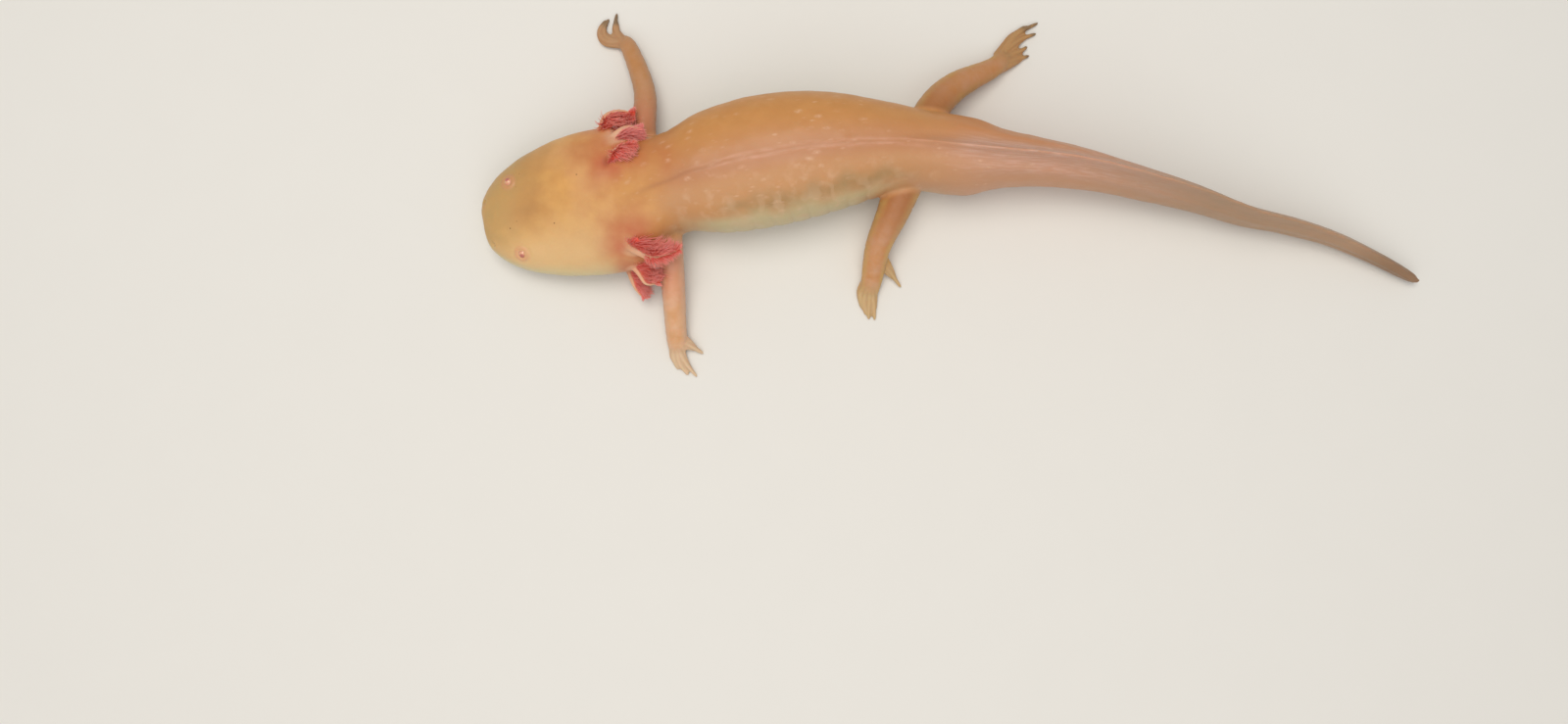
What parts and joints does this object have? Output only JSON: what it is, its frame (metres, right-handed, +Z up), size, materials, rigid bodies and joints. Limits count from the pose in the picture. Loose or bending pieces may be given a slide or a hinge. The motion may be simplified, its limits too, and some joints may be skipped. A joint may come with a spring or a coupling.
{
  "type": "axolotl model",
  "caption": "Life-size still model of a golden albino axolotl crawling on its belly, with feathery red gills, small splayed legs and a long finned tail.",
  "frame": {"origin": "centre of the outline seen from above, at the level of the floor it rests on", "axes": "+X towards the tail along the body, -X towards the snout, +Z up, +Y towards the animal's right side"},
  "size_m": [0.2036, 0.0803, 0.0222],
  "materials": {
    "skin_gold": "moist golden skin of the head and neck",
    "skin_tan": "moist tan skin of the trunk",
    "skin_pink": "moist pinkish skin of the tail",
    "skin_fin": "thin lavender-grey skin of the tail fin",
    "skin_limb": "moist orange-brown skin of the limbs",
    "skin_toe": "pale yellowish skin of hands and feet",
    "gill_red": "deep red feathery gills",
    "eye_pink": "small glossy pinkish eye"
  },
  "bodies": {
    "root": {"head": "skin_gold", "lower_jaw": "skin_gold", "neck": "skin_gold", "trunk_front": "skin_tan", "trunk_rear": "skin_tan", "tail_base": "skin_pink", "tail_middle": "skin_pink", "tail_end": "skin_pink", "tail_fin_upper": "skin_fin", "tail_fin_lower": "skin_fin", "eye_left": "eye_pink", "eye_right": "eye_pink", "gill_left_upper": "gill_red", "gill_left_middle": "gill_red", "gill_left_lower": "gill_red", "gill_right_upper": "gill_red", "gill_right_middle": "gill_red", "gill_right_lower": "gill_red", "left_fore_upper_arm": "skin_limb", "left_fore_forearm": "skin_limb", "left_fore_hand": "skin_toe", "left_hind_thigh": "skin_limb", "left_hind_shank": "skin_limb", "left_hind_foot": "skin_toe", "right_fore_upper_arm": "skin_limb", "right_fore_forearm": "skin_limb", "right_fore_hand": "skin_toe", "right_hind_thigh": "skin_limb", "right_hind_shank": "skin_limb", "right_hind_foot": "skin_toe"}
  },
  "joints": []
}
